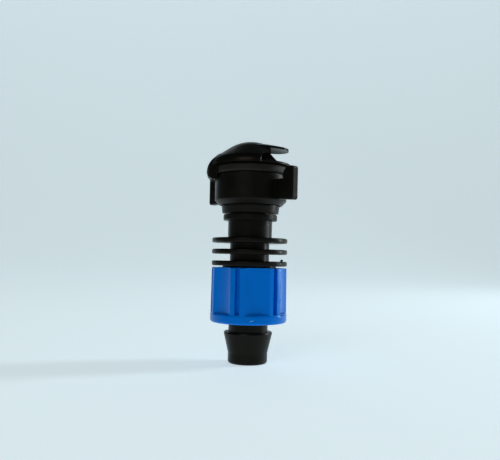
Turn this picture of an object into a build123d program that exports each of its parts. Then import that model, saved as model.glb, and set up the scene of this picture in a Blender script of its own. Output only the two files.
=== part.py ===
"""Union fitting that joins drip tape to lay-flat hose: hooded head, wing nut, finned spigot, tape lock nut.

Millimetres. +Z runs up the water path from the barb end (z = 0) to the hood, and the fitting's axis is Z.
The hood's heel points to -X and its beak to +X.
"""

from build123d import *
import os

os.makedirs("parts", exist_ok=True)

# ---- driving dimensions -------------------------------------------------------------------------
WATER_R = 5.25  # bore through the whole fitting

NOSE_R = 7.1  # straight nose of the barb, which the tape is started on
NOSE_TOP = 3.8
NOSE_ROUND = 0.9
LIP_R = 8.7  # widest place of the barb
LIP_Z = 10.8
LIP_BACK = 11.3
NECK_R = 7.05

LEAD = 4.0  # both screw threads are single start, right hand
SLEEVE_R = 9.7  # root of the tape thread
SLEEVE_CREST_R = 10.5
SLEEVE_BORE_R = 8.3  # the sleeve is cored out, as mouldings are
SLEEVE_LOW = 22.0
CORE_TOP = 33.0

FIN_R = 13.5
FIN_T = 1.73
FIN_Z = (35.7, 39.85, 43.85)  # mid heights of the three grip fins
STEM_R = 7.4  # where the head turns on it
BARREL_R = 7.9  # in sight, between the top fin and the collar

COLLAR_R = 9.65  # spigot collar that the head turns on
COLLAR_LOW = 50.95
COLLAR_TOP = 53.1
SPIGOT_TOP = 66.0

RING_GROOVE_LOW = 57.3
RING_GROOVE_TOP = 58.3
RING_GROOVE_R = 6.8
SEAL_GROOVE_LOW = 61.0
SEAL_GROOVE_TOP = 63.1
SEAL_GROOVE_R = 6.1

SOCKET_R = STEM_R + 0.08
SHANK_LOW = 53.6
SHANK_R = 9.3  # root of the head's thread
SHANK_CREST_R = 10.1
END_BAND_LOW_R = 10.1
END_BAND_R = 10.35  # snap band that keeps the wing nut captive
END_BAND_TOP = 56.2

FLANGE_LOW = 70.3
FLANGE_R = 14.35
FLANGE_RIM = 0.5
FLOOR_Z = 71.4  # floor of the hood's chamber
HOOD_R = 14.7
HOOD_SPRING = 72.3  # where the hood's wall turns into its dome
HOOD_TURN_R = 3.5  # how softly it turns
HOOD_APEX = 79.2
HOOD_WALL = 1.8
CEILING = HOOD_APEX - HOOD_WALL
HOOD_FRONT = 3.4  # x at which the side walls stop
HOOD_LINTEL_Z = 73.1  # above this the dome runs on forward into the beak
HOOD_LINTEL_X = 6.6
WEB_T = 2.0
WEB_FOOT_X = 10.6
WEB_TOP_X = 6.5
WEB_NOTCH_Z = 75.4
BEAK_TIP = 13.3
BEAK_NOSE_R = 6.0  # rounding of the tip, in plan
BEAK_HALF_W = 8.8
BEAK_ROOT_HALF_W = 7.6  # in plan, on the crown of the dome
BEAK_SECTIONS = ((0, 79.0, 2.75), (6.8, 78.15, 2.0), (13.6, 76.7, 1.2))  # x, height of crown, fall of the sides
BEAK_T = 0.8
HEEL_IN_R = 13.6
HEEL_R = 16.0
HEEL_LOBE_R = 7.2  # rounding of the heel, in plan

DRUM_R = 12.85
DRUM_LOW = 58.0
DRUM_TOP = 67.2
SKIRT_LOW = 56.4
SKIRT_R = 11.3
SKIRT_BORE_R = 10.7
SKIRT_BORE_TOP = 61.1
WING_NUT_BORE_R = 10.4
WING_REACH = 21.1
WING_T = 3.0
WING_TOP = 69.0
HEEL_CLEAR_R = 16.5  # the wings pass outside the heel here
WING_ANGLES = (-45.0, 135.0)

GASKET_LOW = 67.3
GASKET_TOP = 70.2
GASKET_IN_R = 10.4
GASKET_R = 13.3

NUT_LOW = 14.75
NUT_TOP = 34.2
NUT_FLANGE_TOP = 18.3
NUT_FLANGE_R = 13.75
NUT_R = 13.65
NUT_BORE_R = 10.8
NUT_NOSE_R = 9.2  # passes over the barb's lip
NUT_GROOVE_R = 10.25  # groove that the grip ring springs into
NUT_GROOVE_LOW = 16.45
NUT_GROOVE_TOP = 18.15
NUT_SHOULDER_R = 9.5
NUT_SHOULDER_TOP = 20.0
GRIP_IN_R = 7.6
GRIP_LOW = 15.0
NUT_SLOT_ANGLE = 13.2  # the first of the six slots, from +X
NUT_SLOT_W = 1.7
NUT_SLOT_DEPTH = 1.8
PANEL_MID_R = 12.1  # the grip panels' hollow, at its middle
PANEL_CURVE_R = 14.0

THREAD_SINK = 0.3  # how deep a ridge's foot is buried in its wall


def ridge(foot_r, crest_r, foot_half, crest_half, z_low, z_high, zero_z):
    """A helical ridge on a round wall. Its middle is at zero_z + LEAD for each turn counted from +X."""
    outward = 1 if crest_r > foot_r else -1
    foot = -outward * THREAD_SINK
    crest = crest_r - foot_r
    with BuildPart() as thread:
        with BuildLine() as path:
            Helix(pitch=LEAD, height=z_high - z_low, radius=foot_r, center=(0, 0, z_low))
        with BuildSketch(Plane(origin=path.line @ 0, x_dir=(1, 0, 0), z_dir=path.line % 0)):
            Polygon(
                (foot, -foot_half),
                (crest, -crest_half),
                (crest, crest_half),
                (foot, foot_half),
                align=None,
            )
        sweep(is_frenet=True)
    return thread.part.rotate(Axis.Z, 360 * (z_low - zero_z) / LEAD)


def ring_profile(in_r, out_r, low, top, rounding):
    """A turned ring: a rectangle in the half plane, its outer edges rounded."""
    with BuildPart() as ring:
        with BuildSketch(Plane.XZ) as section:
            with BuildLine():
                Polyline((in_r, low), (out_r, low), (out_r, top), (in_r, top), close=True)
            make_face()
            fillet(section.vertices().filter_by(lambda v: v.X > out_r - 0.01), rounding)
        revolve(axis=Axis.Z)
    return ring.part


# ---- spigot body: barb, tape thread sleeve, grip fins, swivel stem --------------------------------
with BuildPart() as spigot_body:
    with BuildSketch(Plane.XZ) as wall:
        with BuildLine():
            Line((WATER_R, 0), (NOSE_R - NOSE_ROUND, 0))
            RadiusArc((NOSE_R - NOSE_ROUND, 0), (NOSE_R, NOSE_ROUND), -NOSE_ROUND)
            Polyline(
                (NOSE_R, NOSE_ROUND),
                (NOSE_R, NOSE_TOP),
                (LIP_R, LIP_Z),
                (LIP_R - 0.2, LIP_BACK),
                (NECK_R, LIP_BACK),
                (NECK_R, CORE_TOP),
                (SLEEVE_BORE_R, CORE_TOP),
                (SLEEVE_BORE_R, SLEEVE_LOW),
                (SLEEVE_R - 0.3, SLEEVE_LOW),
                (SLEEVE_R, SLEEVE_LOW + 0.3),
                (SLEEVE_R, FIN_Z[0]),
                (BARREL_R, FIN_Z[0]),
                (BARREL_R, COLLAR_LOW + 0.2),
                (STEM_R, COLLAR_LOW + 0.2),
                (STEM_R, RING_GROOVE_LOW),
                (RING_GROOVE_R, RING_GROOVE_LOW),
                (RING_GROOVE_R, RING_GROOVE_TOP),
                (STEM_R, RING_GROOVE_TOP),
                (STEM_R, SEAL_GROOVE_LOW),
                (SEAL_GROOVE_R, SEAL_GROOVE_LOW),
                (SEAL_GROOVE_R, SEAL_GROOVE_TOP),
                (STEM_R, SEAL_GROOVE_TOP),
                (STEM_R, SPIGOT_TOP - 0.4),
                (STEM_R - 0.4, SPIGOT_TOP),
                (WATER_R, SPIGOT_TOP),
                (WATER_R, 0),
            )
        make_face()
    revolve(axis=Axis.Z)
    # the stem is thinner between the fins
    for low_fin, high_fin in zip(FIN_Z, FIN_Z[1:]):
        with BuildSketch(Plane.XY.offset(low_fin)):
            Circle(BARREL_R + 1)
            Circle(NECK_R, mode=Mode.SUBTRACT)
        extrude(amount=high_fin - low_fin, mode=Mode.SUBTRACT)
    for fin in FIN_Z:
        add(ring_profile(WATER_R + 0.5, FIN_R, fin - FIN_T / 2, fin + FIN_T / 2, 0.5))
    add(ring_profile(WATER_R + 0.5, COLLAR_R, COLLAR_LOW, COLLAR_TOP, 0.4))
    # moulding gate's stub on the lowest fin
    with BuildSketch(Plane.XY.offset(FIN_Z[0])):
        with Locations((11.4, -3.6)):
            Circle(0.45)
    extrude(amount=FIN_T / 2 + 0.7)
    add(ridge(SLEEVE_R, SLEEVE_CREST_R, 1.3, 0.7, SLEEVE_LOW + 1.6, CORE_TOP, SLEEVE_LOW))
spigot_body.part.label = "spigot_body"
export_step(spigot_body.part, "parts/spigot_body.step")

# ---- swivel parts between spigot and head ---------------------------------------------------------
swivel_o_ring = ring_profile(SEAL_GROOVE_R + 0.02, SOCKET_R - 0.02, 61.15, 62.95, 0.6)
swivel_o_ring.label = "swivel_o_ring"
export_step(swivel_o_ring, "parts/swivel_o_ring.step")

with BuildPart() as swivel_snap_ring:
    with BuildSketch(Plane.XY.offset(RING_GROOVE_LOW + 0.05)):
        Circle(SOCKET_R + 0.52)
        Circle(RING_GROOVE_R + 0.05, mode=Mode.SUBTRACT)
        with Locations((0, SOCKET_R)):
            Rectangle(1.6, 3.0, mode=Mode.SUBTRACT)
    extrude(amount=RING_GROOVE_TOP - RING_GROOVE_LOW - 0.1)
swivel_snap_ring.part.label = "swivel_snap_ring"
export_step(swivel_snap_ring.part, "parts/swivel_snap_ring.step")

# ---- hooded head ----------------------------------------------------------------------------------
# hollow dome over the chamber
with BuildPart() as dome:
    with BuildSketch(Plane.XZ) as outside:
        with BuildLine():
            cap = TangentArc((0, HOOD_APEX), (7.8, 76.9), tangent=(1, 0))
            TangentArc((7.8, 76.9), (HOOD_R, HOOD_SPRING), tangent=cap % 1)
            Polyline((HOOD_R, HOOD_SPRING), (HOOD_R, FLANGE_LOW), (0, FLANGE_LOW), (0, HOOD_APEX))
        make_face()
        fillet(outside.vertices().filter_by(lambda v: abs(v.Y - HOOD_SPRING) < 0.01), HOOD_TURN_R)
    revolve(axis=Axis.Z)
    with BuildSketch(Plane.XZ):
        with BuildLine():
            ThreePointArc((0, CEILING), (7.2, 75.1), (HOOD_R - HOOD_WALL - 0.4, FLOOR_Z + 0.5))
            Polyline(
                (HOOD_R - HOOD_WALL - 0.4, FLOOR_Z + 0.5),
                (HOOD_R - HOOD_WALL - 0.4, FLANGE_LOW),
                (0, FLANGE_LOW),
                (0, CEILING),
            )
        make_face()
    revolve(axis=Axis.Z, mode=Mode.SUBTRACT)

# its side walls stop at the front with rounded ends
with BuildPart() as side_walls:
    add(dome.part)
    with BuildSketch(Plane.XY.offset(FLANGE_LOW)) as plan:
        Circle(HOOD_R)
        with Locations((HOOD_FRONT, 0)):
            Rectangle(HOOD_R, 2 * HOOD_R + 1, align=(Align.MIN, Align.CENTER), mode=Mode.SUBTRACT)
        fillet(plan.vertices().filter_by(lambda v: v.X > HOOD_FRONT - 0.1), 1.0)
    extrude(amount=HOOD_LINTEL_Z - FLANGE_LOW, mode=Mode.INTERSECT)

# above them the dome runs on forward, as the lintel of the inlet
with BuildPart() as lintel:
    add(dome.part)
    with BuildSketch(Plane.XZ):
        with BuildLine():
            Line((HOOD_FRONT, HOOD_LINTEL_Z - 0.4), (HOOD_FRONT, HOOD_LINTEL_Z))
            ThreePointArc((HOOD_FRONT, HOOD_LINTEL_Z), (4.9, 73.75), (HOOD_LINTEL_X, 74.0))
            Polyline(
                (HOOD_LINTEL_X, 74.0),
                (HOOD_LINTEL_X, HOOD_APEX + 1),
                (-HOOD_R - 1, HOOD_APEX + 1),
                (-HOOD_R - 1, HOOD_LINTEL_Z - 0.4),
                (HOOD_FRONT, HOOD_LINTEL_Z - 0.4),
            )
        make_face()
    extrude(amount=HOOD_R, both=True, mode=Mode.INTERSECT)

# beak: a thin arched plate that grows out of the dome's crown and shades the inlet
with BuildPart() as beak:
    for x, crown_z, drop in BEAK_SECTIONS:
        with BuildSketch(Plane.YZ.offset(x)):
            with BuildLine():
                ThreePointArc((-BEAK_HALF_W, crown_z - drop), (0, crown_z), (BEAK_HALF_W, crown_z - drop))
                Line((BEAK_HALF_W, crown_z - drop), (BEAK_HALF_W, crown_z - drop - BEAK_T))
                ThreePointArc(
                    (BEAK_HALF_W, crown_z - drop - BEAK_T),
                    (0, crown_z - BEAK_T),
                    (-BEAK_HALF_W, crown_z - drop - BEAK_T),
                )
                Line((-BEAK_HALF_W, crown_z - drop - BEAK_T), (-BEAK_HALF_W, crown_z - drop))
            make_face()
    loft()
    # in plan it narrows from its root to a round tip
    with BuildSketch(Plane.XY.offset(FLOOR_Z)):
        with Locations((BEAK_TIP - BEAK_NOSE_R, 0)):
            Circle(BEAK_NOSE_R)
        Polygon((0, -BEAK_ROOT_HALF_W), (8.5, -5.88), (8.5, 5.88), (0, BEAK_ROOT_HALF_W), align=None)
    extrude(amount=10, mode=Mode.INTERSECT)

# heel: a hooked lobe of the rim that catches under the hose wall as the head is tipped in
with BuildPart() as heel:
    with BuildSketch(Plane.XZ) as hook:
        with BuildLine():
            Polyline(
                (HEEL_IN_R, FLANGE_LOW + 0.5),
                (HEEL_IN_R, 65.3),
                (HEEL_R - 1.2, 65.3),
                (HEEL_R - 0.4, 66.3),
                (HEEL_R, 67.8),
            )
            ThreePointArc((HEEL_R, 67.8), (15.55, 70.4), (14.2, 72.55))
            Polyline((14.2, 72.55), (12.7, 73.9), (11.9, 73.5), (11.9, FLANGE_LOW + 0.5), (HEEL_IN_R, FLANGE_LOW + 0.5))
        make_face()
        fillet(hook.vertices().filter_by(lambda v: v.Y < 67), 0.4)
    revolve(axis=Axis.Z)
    with BuildSketch(Plane.XY.offset(65)):
        with Locations((HEEL_LOBE_R - HEEL_R - 0.1, 0)):
            Circle(HEEL_LOBE_R)
    extrude(amount=10, mode=Mode.INTERSECT)

with BuildPart() as hooded_head:
    # threaded shank with its end band, and the hose flange
    with BuildSketch(Plane.XZ):
        with BuildLine():
            Polyline(
                (WATER_R, SPIGOT_TOP + 0.3),
                (SOCKET_R, SPIGOT_TOP + 0.3),
                (SOCKET_R, RING_GROOVE_TOP + 0.05),
                (SOCKET_R + 0.57, RING_GROOVE_TOP + 0.05),
                (SOCKET_R + 0.57, RING_GROOVE_LOW - 0.05),
                (SOCKET_R, RING_GROOVE_LOW - 0.05),
                (SOCKET_R, SHANK_LOW),
                (END_BAND_LOW_R, SHANK_LOW),
                (END_BAND_R, END_BAND_TOP - 0.4),
                (END_BAND_R, END_BAND_TOP),
                (SHANK_R, END_BAND_TOP + 0.3),
                (SHANK_R, FLANGE_LOW),
                (FLANGE_R, FLANGE_LOW),
                (FLANGE_R, FLANGE_LOW + FLANGE_RIM),
                (FLANGE_R - 0.3, FLANGE_LOW + FLANGE_RIM + 0.25),
                (SHANK_R, FLOOR_Z),
                (WATER_R + 1.2, FLOOR_Z),
            )
            RadiusArc((WATER_R + 1.2, FLOOR_Z), (WATER_R, FLOOR_Z - 1.2), -1.2)
            Line((WATER_R, FLOOR_Z - 1.2), (WATER_R, SPIGOT_TOP + 0.3))
        make_face()
    revolve(axis=Axis.Z)
    add(ridge(SHANK_R, SHANK_CREST_R, 1.3, 0.7, END_BAND_TOP + 1.9, FLANGE_LOW - 1.4, SHANK_LOW))
    add(side_walls.part)
    add(lintel.part)
    add(beak.part)
    add(heel.part)
    # web that splits the inlet and carries the beak
    with BuildSketch(Plane.XZ):
        with BuildLine():
            Polyline(
                (-4, FLOOR_Z - 0.6),
                (WEB_FOOT_X, FLOOR_Z - 0.3),
                (WEB_TOP_X, WEB_NOTCH_Z),
                (WEB_TOP_X, CEILING + 0.6),
                (2, CEILING + 0.8),
                (-4, CEILING + 0.3),
                close=True,
            )
        make_face()
    extrude(amount=WEB_T / 2, both=True)
hooded_head.part.label = "hooded_head"
export_step(hooded_head.part, "parts/hooded_head.step")

# ---- wing nut -------------------------------------------------------------------------------------
# one wing: a plate with rounded rims, notched above so that it turns past the heel
with BuildPart() as wing:
    with BuildSketch(Plane.XZ) as blade:
        with BuildLine():
            Polyline(
                (DRUM_R - 1.2, 65.0),
                (DRUM_R - 1.2, DRUM_LOW + 0.2),
                (WING_REACH, 57.5),
                (WING_REACH, WING_TOP),
                (18.6, WING_TOP),
            )
            ThreePointArc((18.6, WING_TOP), (16.9, 67.6), (HEEL_CLEAR_R, 65.0))
            Line((HEEL_CLEAR_R, 65.0), (DRUM_R - 1.2, 65.0))
        make_face()
        fillet(blade.vertices().filter_by(lambda v: v.X > WING_REACH - 0.01), 0.9)
    extrude(amount=WING_T / 2, both=True)
    fillet(wing.faces().filter_by(Axis.Y).edges(), 0.5)

with BuildPart() as wing_nut:
    with BuildSketch(Plane.XZ) as drum:
        with BuildLine():
            Polyline(
                (SKIRT_BORE_R, SKIRT_LOW),
                (SKIRT_R, SKIRT_LOW),
                (DRUM_R, DRUM_LOW),
                (DRUM_R, DRUM_TOP),
                (WING_NUT_BORE_R, DRUM_TOP),
                (WING_NUT_BORE_R, SKIRT_BORE_TOP + 0.2),
                (SKIRT_BORE_R, SKIRT_BORE_TOP),
                close=True,
            )
        make_face()
        fillet(drum.vertices().filter_by(lambda v: v.X > DRUM_R - 0.01), 0.5)
    revolve(axis=Axis.Z)
    for angle in WING_ANGLES:
        add(wing.part.rotate(Axis.Z, angle))
    add(ridge(WING_NUT_BORE_R, SHANK_R + 0.25, 0.9, 0.5, 62.4, 66.0, SHANK_LOW + LEAD / 2))
wing_nut.part.label = "wing_nut"
export_step(wing_nut.part, "parts/wing_nut.step")

hose_gasket = ring_profile(GASKET_IN_R, GASKET_R, GASKET_LOW, GASKET_TOP, 0.8)
hose_gasket.label = "hose_gasket"
export_step(hose_gasket, "parts/hose_gasket.step")

# ---- tape lock nut and the grip ring in its nose --------------------------------------------------
with BuildPart() as tape_lock_nut:
    # fluted grip: six hollow panels, and a narrow slot along each crest between them
    with BuildSketch(Plane.XY.offset(NUT_FLANGE_TOP - 0.5)) as grip:
        Circle(NUT_R)
        with PolarLocations(PANEL_MID_R + PANEL_CURVE_R, 6, start_angle=NUT_SLOT_ANGLE + 30):
            Circle(PANEL_CURVE_R, mode=Mode.SUBTRACT)
        with PolarLocations(NUT_R, 6, start_angle=NUT_SLOT_ANGLE):
            Rectangle(2 * NUT_SLOT_DEPTH, NUT_SLOT_W, mode=Mode.SUBTRACT)
        rim_corners = grip.vertices().filter_by(lambda v: v.center().length > NUT_R - 0.1)
        fillet(rim_corners, 0.35)
    extrude(amount=NUT_TOP - NUT_FLANGE_TOP + 0.5)
    # draft and a rounded top edge
    with BuildSketch(Plane.XZ):
        with BuildLine():
            Polyline((NUT_R - 0.65, NUT_TOP), (0, NUT_TOP), (0, NUT_LOW), (NUT_R, NUT_LOW), (NUT_R - 0.2, NUT_TOP - 0.45))
            RadiusArc((NUT_R - 0.2, NUT_TOP - 0.45), (NUT_R - 0.65, NUT_TOP), -0.45)
        make_face()
    revolve(axis=Axis.Z, mode=Mode.INTERSECT)
    add(ring_profile(NUT_NOSE_R + 0.2, NUT_FLANGE_R, NUT_LOW, NUT_FLANGE_TOP, 0.9))
    with BuildSketch(Plane.XZ):
        with BuildLine():
            Polyline(
                (0, NUT_LOW - 1),
                (NUT_NOSE_R + 0.4, NUT_LOW - 1),
                (NUT_NOSE_R + 0.4, NUT_LOW),
                (NUT_NOSE_R, NUT_LOW + 0.4),
                (NUT_NOSE_R, NUT_GROOVE_LOW),
                (NUT_GROOVE_R, NUT_GROOVE_LOW),
                (NUT_GROOVE_R, NUT_GROOVE_TOP),
                (NUT_SHOULDER_R, NUT_GROOVE_TOP),
                (NUT_SHOULDER_R, NUT_SHOULDER_TOP),
                (NUT_BORE_R, NUT_SHOULDER_TOP + 0.9),
                (NUT_BORE_R, NUT_TOP - 0.4),
                (NUT_BORE_R + 0.4, NUT_TOP),
                (NUT_BORE_R + 0.4, NUT_TOP + 1),
                (0, NUT_TOP + 1),
                close=True,
            )
        make_face()
    revolve(axis=Axis.Z, mode=Mode.SUBTRACT)
    add(ridge(NUT_BORE_R, SLEEVE_R + 0.25, 0.9, 0.5, 26.6, 32.8, SLEEVE_LOW + LEAD / 2))
tape_lock_nut.part.label = "tape_lock_nut"
export_step(tape_lock_nut.part, "parts/tape_lock_nut.step")

with BuildPart() as tape_grip_ring:
    with BuildSketch(Plane.XZ):
        with BuildLine():
            Polyline(
                (GRIP_IN_R, GRIP_LOW + 0.4),
                (GRIP_IN_R + 0.4, GRIP_LOW),
                (NUT_NOSE_R - 0.25, GRIP_LOW),
                (NUT_NOSE_R - 0.25, NUT_GROOVE_LOW + 0.15),
                (NUT_GROOVE_R - 0.25, NUT_GROOVE_LOW + 0.15),
                (NUT_GROOVE_R - 0.25, NUT_GROOVE_TOP - 0.65),
                (NUT_GROOVE_R - 0.75, NUT_GROOVE_TOP - 0.15),
                (GRIP_IN_R, NUT_GROOVE_TOP - 0.15),
                close=True,
            )
        make_face()
    revolve(axis=Axis.Z)
    # split, so that it springs over the barb and into the nut
    with BuildSketch(Plane.XY.offset(GRIP_LOW - 1)):
        with Locations((0, NUT_NOSE_R)):
            Rectangle(1.4, 5)
    extrude(amount=5, mode=Mode.SUBTRACT)
tape_grip_ring.part.label = "tape_grip_ring"
export_step(tape_grip_ring.part, "parts/tape_grip_ring.step")
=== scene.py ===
"""Looks of an irrigation union fitting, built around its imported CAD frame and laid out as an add-on."""

import math

import bmesh
import bpy
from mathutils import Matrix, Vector


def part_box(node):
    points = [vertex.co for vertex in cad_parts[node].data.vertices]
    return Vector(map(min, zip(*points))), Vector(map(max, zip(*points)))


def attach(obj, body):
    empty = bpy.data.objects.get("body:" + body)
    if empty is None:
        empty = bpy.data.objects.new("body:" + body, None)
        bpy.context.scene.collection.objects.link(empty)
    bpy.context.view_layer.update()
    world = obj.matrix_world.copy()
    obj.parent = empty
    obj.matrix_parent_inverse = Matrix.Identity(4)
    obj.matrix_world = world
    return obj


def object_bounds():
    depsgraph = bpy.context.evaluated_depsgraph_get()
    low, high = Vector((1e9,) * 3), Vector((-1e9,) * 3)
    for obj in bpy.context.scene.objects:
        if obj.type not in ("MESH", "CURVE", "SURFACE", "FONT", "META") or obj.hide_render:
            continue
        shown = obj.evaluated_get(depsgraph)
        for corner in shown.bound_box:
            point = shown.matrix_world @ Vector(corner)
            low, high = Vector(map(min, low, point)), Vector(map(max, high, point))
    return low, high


bl_info = {
    "name": "Irrigation union fitting",
    "version": (1, 0, 0),
    "blender": (4, 5, 0),
    "location": "View3D > Sidebar > Fitting",
    "description": "Finishes the pieces of a drip-tape to lay-flat union fitting and its small studio",
    "category": "Object",
}

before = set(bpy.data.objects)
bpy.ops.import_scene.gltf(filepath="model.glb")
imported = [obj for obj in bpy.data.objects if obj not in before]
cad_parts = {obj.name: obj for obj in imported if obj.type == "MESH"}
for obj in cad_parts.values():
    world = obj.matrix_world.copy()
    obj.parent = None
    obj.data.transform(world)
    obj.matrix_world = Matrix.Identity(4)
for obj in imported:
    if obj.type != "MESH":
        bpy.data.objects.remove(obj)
cad_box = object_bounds()
MM = 0.001

# the moulded finish
FLOW_MARK = 9.0 * MM  # length of the slow changes of sheen that the melt's flow leaves
NOISE_BAND = {"From Min": 0.3, "From Max": 0.7}  # where a noise texture mostly stays
SHEEN_DOWN, SHEEN_UP = 0.07, 0.09  # how far the flow takes the roughness off its base
GRAIN_SWING = 0.05  # how far the grain takes it
MOTTLE = {"To Min": 0.9, "To Max": 1.1}  # how far the flow takes the brightness
GRAIN_STRENGTH = 0.35  # how much of the grain's depth shows
RUB_REACH = 0.35 * MM  # how far in from an edge the rubbing comes
RUB_BAND = {"From Min": 0.995, "From Max": 0.86}  # cosines of the surface's turn, from no rubbing to full

# the studio's soft boxes: place, width and height in metres
SOFT_BOXES = {
    "key_right": {
        "place": (0.76, 0.24, 0.3), "width": 0.12, "height": 0.6, "watts": 3.4, "colour": (0.88, 0.95, 1.0),
    },
    "fill_front": {
        "place": (-0.25, -0.7, 0.5), "width": 0.5, "height": 0.4, "watts": 1.1, "colour": (1.0, 0.97, 0.92),
    },
}
NEAREST_SEEN = 10 * MM  # the camera's near clip


def srgb(code):
    """An sRGB hex colour as the linear RGBA that shaders use."""
    channels = [int(code[i : i + 2], 16) / 255 for i in (1, 3, 5)]
    linear = [c / 12.92 if c <= 0.04045 else ((c + 0.055) / 1.055) ** 2.4 for c in channels]
    return (*linear, 1.0)


# ---- settings a user would change -----------------------------------------------------------------
def colour_setting(name, code, description):
    """A colour setting whose default is an sRGB hex colour."""
    return bpy.props.FloatVectorProperty(
        name=name, description=description, subtype="COLOR", size=4, min=0, max=1, default=srgb(code),
    )


def length_setting(name, default, description):
    """A length setting in metres, never below nothing."""
    return bpy.props.FloatProperty(name=name, description=description, unit="LENGTH", default=default, min=0)


def strength_setting(name, default, description):
    """A strength setting without a unit."""
    return bpy.props.FloatProperty(name=name, description=description, default=default, min=0)


class FittingColours(bpy.types.PropertyGroup):
    """Colours of the mouldings and the studio."""

    black_pp: colour_setting(
        "Black polypropylene", "#0B0A07", "Carbon-filled polypropylene of body, head and wing nut",
    )
    black_rubbed: colour_setting("Rubbed black", "#2E2C26", "The black plastic on rubbed edges")
    blue_pp: colour_setting("Blue polypropylene", "#0076E0", "Pigmented polypropylene of the tape lock nut")
    blue_rubbed: colour_setting("Rubbed blue", "#1F9BEF", "The blue plastic on rubbed edges")
    blue_gloss: colour_setting("Blue gloss", "#58BCFF", "Tint of the blue plastic's gloss")
    # Scuff colours: the pale blue is a painted highlight on a real raised scuff mark, and the near-white
    # along its ridge is a painted highlight too.
    scuff: colour_setting("Scuff", "#6FBDF2", "The blue plastic where it is scuffed")
    scuff_ridge_painted_highlight: colour_setting("Rubbed scuff", "#BFE4FA", "The scuff along its ridge")
    gasket: colour_setting("Gasket rubber", "#14130E", "Moulded rubber of the hose gasket and the O-ring")
    gasket_rubbed: colour_setting("Rubbed rubber", "#2C2B27", "The rubber on rubbed edges")
    warm_gloss: colour_setting("Warm gloss", "#FFF6E8", "Tint of the gloss on black plastic and rubber")
    acetal: colour_setting("Natural acetal", "#D3D1C4", "Acetal of the two split rings")
    acetal_rubbed: colour_setting("Rubbed acetal", "#E6E5DC", "The acetal on rubbed edges")
    floor: colour_setting("Studio paper", "#E2F1F6", "Pale paper sweep under and behind the fitting")
    air: colour_setting("Studio air", "#E0F0F4", "The room beyond the paper")


class FittingScuff(bpy.types.PropertyGroup):
    """The small scuff on the rim of the lock nut's foot."""

    length: length_setting("Length", 2.3 * MM, "How far it runs round the rim")
    width: length_setting("Width", 0.32 * MM, "Its width at the middle")
    proud: length_setting("Proud", 0.06 * MM, "How far its ridge stands out of the rim")
    height: length_setting("Height", 1.05 * MM, "Height of its low end above the bottom of the nut")
    climb: length_setting("Climb", 0.7 * MM, "How much higher its other end is")


class FittingStudio(bpy.types.PropertyGroup):
    """Camera, paper and air."""

    distance: length_setting("Camera distance", 216 * MM, "From the fitting's axis to the camera")
    eye_height: length_setting("Eye height", 37.3 * MM, "Height of the level camera above the floor")
    side_step: length_setting("Side step", 0.2 * MM, "How far the camera stands to the right of the axis")
    roll: bpy.props.FloatProperty(
        name="Roll", description="Turn of the camera about its own line of sight",
        subtype="ANGLE", default=math.radians(1.2),
    )
    lens: bpy.props.FloatProperty(
        name="Lens", description="Focal length in millimetres on a 36 mm wide sensor",
        subtype="DISTANCE_CAMERA", default=43.2, min=10,
    )
    rise: bpy.props.FloatProperty(
        name="Lens rise", description="Upward shift of the view, in sensor widths", default=0.058,
    )
    floor_half: length_setting("Floor half width", 2.2, "Half the paper's width on the floor")
    wall_half: length_setting("Wall half width", 1.3, "Half the paper's width on the wall")
    back: length_setting("Wall distance", 2.0, "From the fitting's axis to the paper's wall")
    top: length_setting("Wall height", 1.6, "Height of the paper's upper edge")
    curve: length_setting("Curve", 1.2, "Radius of the turn from floor to wall")
    paper_glow: strength_setting("Paper glow", 0.62, "Light that comes through the paper")
    air_seen: strength_setting("Air seen", 0.8, "How bright the room looks")
    air_cast: strength_setting("Air cast", 0.05, "How much light the room throws")


def colours():
    """The colour settings in use."""
    return bpy.context.scene.fitting_colours


# ---- node helpers ---------------------------------------------------------------------------------
def add_node(tree, kind, inputs=None, **settings):
    """Adds one shader node. An input's value is a plain value, or a socket to link from."""
    node = tree.nodes.new(kind)
    for key, value in settings.items():
        setattr(node, key, value)
    for key, value in (inputs or {}).items():
        if isinstance(value, bpy.types.NodeSocket):
            tree.links.new(value, node.inputs[key])
        else:
            node.inputs[key].default_value = value
    return node


def new_material(name, constants):
    """An empty node material with one Principled shader, whose constants are set on its own sockets."""
    material = bpy.data.materials.new(name)
    material.use_nodes = True
    tree = material.node_tree
    tree.nodes.clear()
    shader = add_node(tree, "ShaderNodeBsdfPrincipled", constants)
    output = add_node(tree, "ShaderNodeOutputMaterial")
    tree.links.new(shader.outputs["BSDF"], output.inputs["Surface"])
    return material, tree, shader


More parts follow.
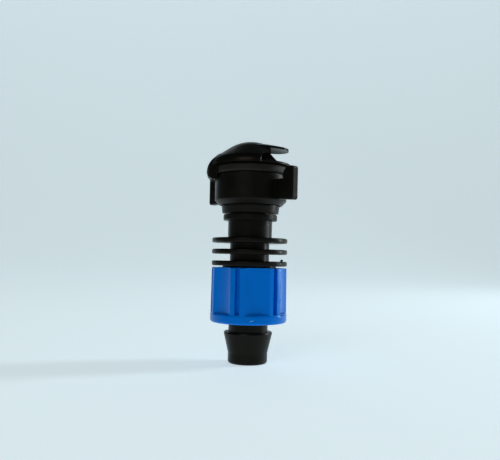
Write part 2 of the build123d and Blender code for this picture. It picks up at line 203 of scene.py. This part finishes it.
# ---- materials ------------------------------------------------------------------------------------
def moulded(name, colour, rubbed, *, roughness, grain, depth, ior, wear, shine, gloss=(1, 1, 1, 1)):
    """A moulded plastic or rubber: eroded mould grain, slow sheen changes from flow, and rubbed edges.

    Real mould grain is about 0.1 mm across. It is drawn two to five times as coarse, so that it shows.
    """
    if name in bpy.data.materials:
        return bpy.data.materials[name]
    material, tree, shader = new_material(
        name, {"IOR": ior, "Specular IOR Level": shine, "Specular Tint": gloss},
    )
    place = add_node(tree, "ShaderNodeTexCoord").outputs["Object"]
    grain_noise = add_node(
        tree, "ShaderNodeTexNoise",
        {"Vector": place, "Scale": 1 / grain, "Detail": 3.0, "Roughness": 0.6},
    ).outputs["Fac"]
    flow_noise = add_node(
        tree, "ShaderNodeTexNoise",
        {"Vector": place, "Scale": 1 / FLOW_MARK, "Detail": 2.0, "Distortion": 0.6},
    ).outputs["Fac"]

    # roughness: the flow's slow change and the grain's quick one
    sheen_map = add_node(
        tree, "ShaderNodeMapRange",
        {"Value": flow_noise, **NOISE_BAND, "To Min": roughness - SHEEN_DOWN, "To Max": roughness + SHEEN_UP},
    )
    grain_map = add_node(
        tree, "ShaderNodeMapRange",
        {"Value": grain_noise, **NOISE_BAND, "To Min": -GRAIN_SWING, "To Max": GRAIN_SWING},
    )
    rough = add_node(
        tree, "ShaderNodeMath", {0: sheen_map.outputs["Result"], 1: grain_map.outputs["Result"]},
        operation="ADD", use_clamp=True,
    )

    # rubbed edges: where the rounded normal leaves the true one
    soft = add_node(tree, "ShaderNodeBevel", {"Radius": RUB_REACH}, samples=4)
    true = add_node(tree, "ShaderNodeNewGeometry")
    same = add_node(
        tree, "ShaderNodeVectorMath",
        {0: soft.outputs["Normal"], 1: true.outputs["Normal"]}, operation="DOT_PRODUCT",
    )
    edge = add_node(
        tree, "ShaderNodeMapRange",
        {"Value": same.outputs["Value"], **RUB_BAND, "To Min": 0.0, "To Max": wear},
    )
    patch = add_node(tree, "ShaderNodeMath", {0: edge.outputs["Result"], 1: flow_noise}, operation="MULTIPLY")
    tone = add_node(
        tree, "ShaderNodeMix",
        {"Factor": patch.outputs["Value"], "A": colour, "B": rubbed}, data_type="RGBA",
    )

    brightness = add_node(tree, "ShaderNodeMapRange", {"Value": flow_noise, **MOTTLE})
    mottle = add_node(
        tree, "ShaderNodeHueSaturation",
        {"Color": tone.outputs["Result"], "Value": brightness.outputs["Result"]},
    )
    bump = add_node(
        tree, "ShaderNodeBump", {"Height": grain_noise, "Strength": GRAIN_STRENGTH, "Distance": depth},
    )
    tree.links.new(mottle.outputs["Color"], shader.inputs["Base Color"])
    tree.links.new(rough.outputs["Value"], shader.inputs["Roughness"])
    tree.links.new(bump.outputs["Normal"], shader.inputs["Normal"])
    return material


def black_polypropylene():
    """Carbon-black polypropylene, moulded with a light spark-eroded grain: near black, broad dull sheen."""
    return moulded(
        "moulded_black_polypropylene", colours().black_pp, colours().black_rubbed,
        roughness=0.33, grain=0.35 * MM, depth=0.01 * MM, ior=1.49, wear=0.6, shine=0.16,
        gloss=colours().warm_gloss,
    )


def blue_polypropylene():
    """Blue-pigmented polypropylene from a polished mould: clear even blue, soft bright streaks."""
    return moulded(
        "moulded_blue_polypropylene", colours().blue_pp, colours().blue_rubbed,
        roughness=0.22, grain=0.5 * MM, depth=0.004 * MM, ior=1.49, wear=0.6, shine=0.3,
        gloss=colours().blue_gloss,
    )


def scuff_painted_highlight_blue():
    """The nut's polypropylene on its scuff mark: a paler blue that is a painted highlight, and duller."""
    return moulded(
        "blue_scuff_painted_highlight", colours().scuff, colours().scuff_ridge_painted_highlight,
        roughness=0.45, grain=0.2 * MM, depth=0.01 * MM, ior=1.49, wear=0.6, shine=0.3,
    )


def gasket_rubber():
    """Compression-moulded black rubber: dull, slightly lighter than the plastic."""
    return moulded(
        "moulded_gasket_rubber", colours().gasket, colours().gasket_rubbed,
        roughness=0.58, grain=0.3 * MM, depth=0.015 * MM, ior=1.52, wear=0.3, shine=0.28,
        gloss=colours().warm_gloss,
    )


def natural_acetal():
    """Unpigmented moulded acetal: milky white and slightly waxy."""
    return moulded(
        "moulded_natural_acetal", colours().acetal, colours().acetal_rubbed,
        roughness=0.35, grain=0.4 * MM, depth=0.004 * MM, ior=1.48, wear=0.3, shine=0.5,
    )


def studio_paper(glow):
    """Translucent paper lit from behind: even and pale, no shine."""
    paper, _, shader = new_material("studio_paper", {"Roughness": 0.9, "IOR": 1.4, "Emission Strength": glow})
    for socket in ("Base Color", "Emission Color"):
        shader.inputs[socket].default_value = colours().floor
    return paper


# ---- pieces, each with its operator ---------------------------------------------------------------
def finish_node(node, material):
    """Gives a CAD node its material, in its one material slot."""
    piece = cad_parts[node]
    piece.data.materials.clear()
    piece.data.materials.append(material)


class FITTING_OT_spigot(bpy.types.Operator):
    """Finish the spigot body"""

    bl_idname = "fitting.spigot"
    bl_label = "Spigot body"

    def execute(self, context):
        finish_node("spigot_body", black_polypropylene())
        return {"FINISHED"}


class FITTING_OT_head(bpy.types.Operator):
    """Finish the hooded head"""

    bl_idname = "fitting.head"
    bl_label = "Hooded head"

    def execute(self, context):
        finish_node("hooded_head", black_polypropylene())
        return {"FINISHED"}


class FITTING_OT_wing_nut(bpy.types.Operator):
    """Finish the wing nut"""

    bl_idname = "fitting.wing_nut"
    bl_label = "Wing nut"

    def execute(self, context):
        finish_node("wing_nut", black_polypropylene())
        return {"FINISHED"}


def foot_scuff(shape, radius, foot):
    """A short raised scuff on the rim of the nut's foot: three sides, tapered to nothing at both ends."""
    steps = 12
    front = -math.pi / 2
    sunk = 0.05 * MM  # its edges lie this deep in the rim, so that no gap shows
    merge = 0.001 * MM
    sides = ((0.0, -shape.width / 2), (sunk + shape.proud, 0.0), (0.0, shape.width / 2))
    verts = []
    for i in range(steps + 1):
        along = i / steps
        turn = front + along * shape.length / radius
        middle = foot + shape.height + shape.climb * math.sin(along * math.pi / 2)
        taper = math.sin(along * math.pi)
        for out, up in sides:
            reach = radius - sunk + out * taper
            verts.append((reach * math.cos(turn), reach * math.sin(turn), middle + up * taper))
    faces = [
        (3 * i + side, 3 * i + (side + 1) % 3, 3 * i + 3 + (side + 1) % 3, 3 * i + 3 + side)
        for i in range(steps)
        for side in range(3)
    ]
    mesh = bpy.data.meshes.new("nut_foot_scuff")
    mesh.from_pydata(verts, [], faces)
    build = bmesh.new()
    build.from_mesh(mesh)
    bmesh.ops.remove_doubles(build, verts=build.verts, dist=merge)
    bmesh.ops.recalc_face_normals(build, faces=build.faces)
    build.to_mesh(mesh)
    build.free()
    scuff = bpy.data.objects.new("nut_foot_scuff", mesh)
    bpy.context.scene.collection.objects.link(scuff)
    return scuff


class FITTING_OT_lock_nut(bpy.types.Operator):
    """Finish the tape lock nut and its scuff"""

    bl_idname = "fitting.lock_nut"
    bl_label = "Tape lock nut"

    def execute(self, context):
        finish_node("tape_lock_nut", blue_polypropylene())
        low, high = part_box("tape_lock_nut")
        scuff = foot_scuff(context.scene.fitting_scuff, radius=high[0], foot=low[2])
        # the scuff's pale material paints its highlight into its colour
        scuff.data.materials.append(scuff_painted_highlight_blue())
        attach(scuff, "lock_nut")
        return {"FINISHED"}


class FITTING_OT_seals(bpy.types.Operator):
    """Finish the hose gasket and the swivel's O-ring"""

    bl_idname = "fitting.seals"
    bl_label = "Seals"

    def execute(self, context):
        for node in ("hose_gasket", "swivel_o_ring"):
            finish_node(node, gasket_rubber())
        return {"FINISHED"}


class FITTING_OT_split_rings(bpy.types.Operator):
    """Finish the tape grip ring and the swivel's snap ring"""

    bl_idname = "fitting.split_rings"
    bl_label = "Split rings"

    def execute(self, context):
        for node in ("tape_grip_ring", "swivel_snap_ring"):
            finish_node(node, natural_acetal())
        return {"FINISHED"}


# ---- the studio -----------------------------------------------------------------------------------
def area_light(name, target, place, width, height, watts, colour):
    """A soft box at place that faces target."""
    data = bpy.data.lights.new(name, "AREA")
    data.shape = "RECTANGLE"
    data.size = width
    data.size_y = height
    data.energy = watts
    data.color = colour
    lamp = bpy.data.objects.new(name, data)
    lamp.location = place
    lamp.rotation_euler = (target - Vector(place)).to_track_quat("-Z", "Y").to_euler()
    bpy.context.scene.collection.objects.link(lamp)


def paper_sweep(floor_half, wall_half, back, top, curve):
    """Paper that covers the floor all round and turns up in one arc behind the fitting."""
    steps = 24
    line = [(-floor_half, 0.0, floor_half), (back - curve, 0.0, floor_half)]
    for i in range(1, steps + 1):
        turn = math.pi / 2 * i / steps
        half = floor_half + (wall_half - floor_half) * i / steps
        line.append((back - curve + curve * math.sin(turn), curve - curve * math.cos(turn), half))
    line.append((back, top, wall_half))
    verts = [(side * half, y, z) for side in (-1, 1) for y, z, half in line]
    count = len(line)
    faces = [(i, i + count, i + count + 1, i + 1) for i in range(count - 1)]
    mesh = bpy.data.meshes.new("paper_sweep")
    mesh.from_pydata(verts, [], faces)
    mesh.polygons.foreach_set("use_smooth", [True] * len(mesh.polygons))
    sweep = bpy.data.objects.new("paper_sweep", mesh)
    bpy.context.scene.collection.objects.link(sweep)
    return sweep


def studio_air(seen, cast):
    """A room whose walls look pale beyond the paper but throw little light on the fitting."""
    world = bpy.data.worlds.new("studio_air")
    world.use_nodes = True
    tree = world.node_tree
    to_camera = add_node(tree, "ShaderNodeLightPath").outputs["Is Camera Ray"]
    strength = add_node(tree, "ShaderNodeMapRange", {"Value": to_camera, "To Min": cast, "To Max": seen})
    background = tree.nodes["Background"]
    background.inputs["Color"].default_value = colours().air
    tree.links.new(strength.outputs["Result"], background.inputs["Strength"])
    return world


def level_camera(studio):
    """A level camera in front of the fitting, a little rolled, that frames it by shifting its lens."""
    data = bpy.data.cameras.new("camera")
    data.lens = studio.lens
    data.shift_y = studio.rise
    data.clip_start = NEAREST_SEEN
    camera = bpy.data.objects.new("camera", data)
    camera.location = (studio.side_step, -studio.distance, studio.eye_height)
    camera.rotation_euler = (math.pi / 2, -studio.roll, 0)
    bpy.context.scene.collection.objects.link(camera)
    return camera


class FITTING_OT_stage(bpy.types.Operator):
    """Set up paper sweep, soft boxes and camera"""

    bl_idname = "fitting.stage"
    bl_label = "Studio"

    def execute(self, context):
        scene = context.scene
        studio = scene.fitting_studio

        sweep = paper_sweep(studio.floor_half, studio.wall_half, studio.back, studio.top, studio.curve)
        sweep.data.materials.append(studio_paper(studio.paper_glow))

        low, high = cad_box
        middle = Vector((0, 0, (low[2] + high[2]) / 2))
        for name, box in SOFT_BOXES.items():
            area_light(name, middle, **box)

        scene.world = studio_air(studio.air_seen, studio.air_cast)
        scene.view_settings.view_transform = "Standard"
        scene.camera = level_camera(studio)
        return {"FINISHED"}


PIECES = (
    FITTING_OT_spigot,
    FITTING_OT_head,
    FITTING_OT_wing_nut,
    FITTING_OT_lock_nut,
    FITTING_OT_seals,
    FITTING_OT_split_rings,
    FITTING_OT_stage,
)

SETTINGS = {
    "fitting_colours": FittingColours,
    "fitting_scuff": FittingScuff,
    "fitting_studio": FittingStudio,
}


class FITTING_PT_panel(bpy.types.Panel):
    """The fitting's pieces and settings"""

    bl_idname = "FITTING_PT_panel"
    bl_label = "Union fitting"
    bl_space_type = "VIEW_3D"
    bl_region_type = "UI"
    bl_category = "Fitting"

    def draw(self, context):
        for piece in PIECES:
            self.layout.operator(piece.bl_idname)
        for name, group in SETTINGS.items():
            for key in group.__annotations__:
                self.layout.prop(getattr(context.scene, name), key)


CLASSES = (*SETTINGS.values(), *PIECES, FITTING_PT_panel)


def register():
    for cls in CLASSES:
        bpy.utils.register_class(cls)
    for name, group in SETTINGS.items():
        setattr(bpy.types.Scene, name, bpy.props.PointerProperty(type=group))


def unregister():
    for name in SETTINGS:
        delattr(bpy.types.Scene, name)
    for cls in reversed(CLASSES):
        bpy.utils.unregister_class(cls)


def main():
    register()
    for piece in PIECES:
        name = piece.bl_idname.split(".")[1]
        getattr(bpy.ops.fitting, name)()


if __name__ == "__main__":
    main()
